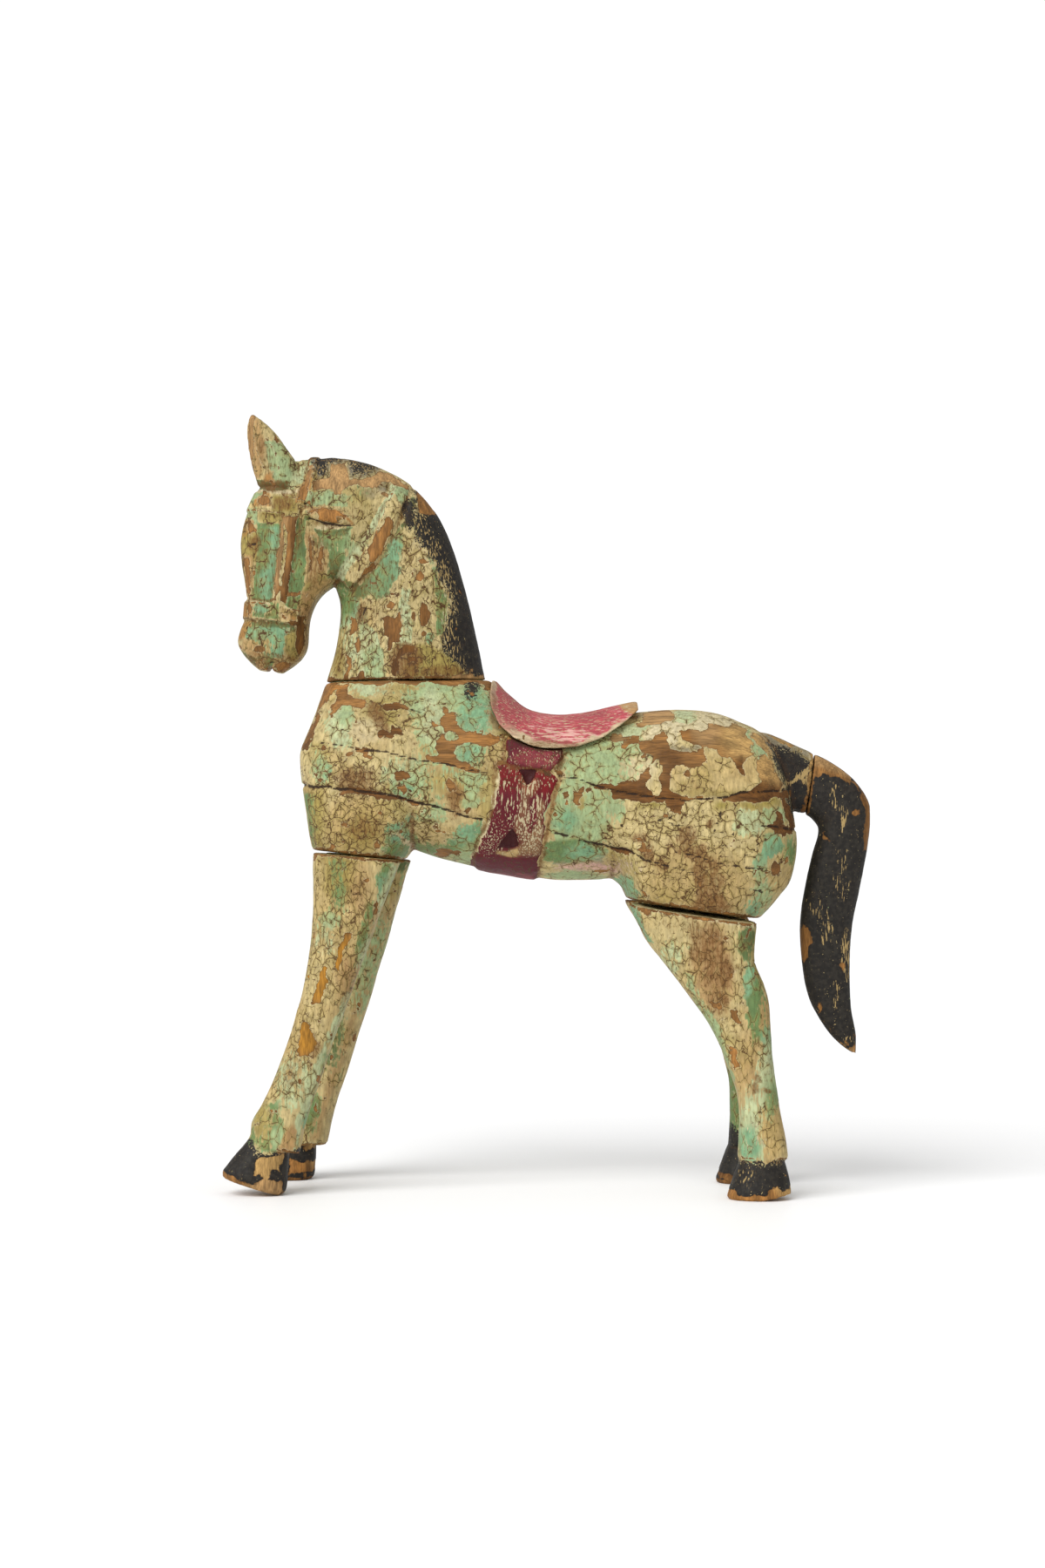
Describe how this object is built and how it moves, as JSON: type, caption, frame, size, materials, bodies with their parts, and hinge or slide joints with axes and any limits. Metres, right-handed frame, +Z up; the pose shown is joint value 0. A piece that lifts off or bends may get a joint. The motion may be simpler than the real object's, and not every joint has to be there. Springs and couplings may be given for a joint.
{
  "type": "carousel horse",
  "caption": "Carved and painted wooden horse with bridle, saddle and girth, standing free on its own hooves as a decorative figure.",
  "frame": {"origin": "on the floor, under the middle of the horse's bounding box", "axes": "+Z up, -X towards the horse's head, +Y towards the horse's right side"},
  "size_m": [0.6462, 0.192, 0.779],
  "materials": {
    "body_paint": "cream and mint paint, cracked and flaked down to bare wood, with a crimson girth",
    "head_paint": "mint and cream paint, cracked and rubbed down to bare wood, with a black mane",
    "leg_paint": "cream and mint paint with fine cracks, and black hooves",
    "tail_paint": "black paint, scratched, with worn brown edges",
    "saddle_paint": "pink-red paint, brushed thin, with a worn cream rim"
  },
  "bodies": {
    "root": {"body": "body_paint", "head_and_neck": "head_paint", "front_leg_left": "leg_paint", "front_leg_right": "leg_paint", "rear_leg_left": "leg_paint", "rear_leg_right": "leg_paint", "tail": "tail_paint", "saddle": "saddle_paint"}
  },
  "joints": []
}
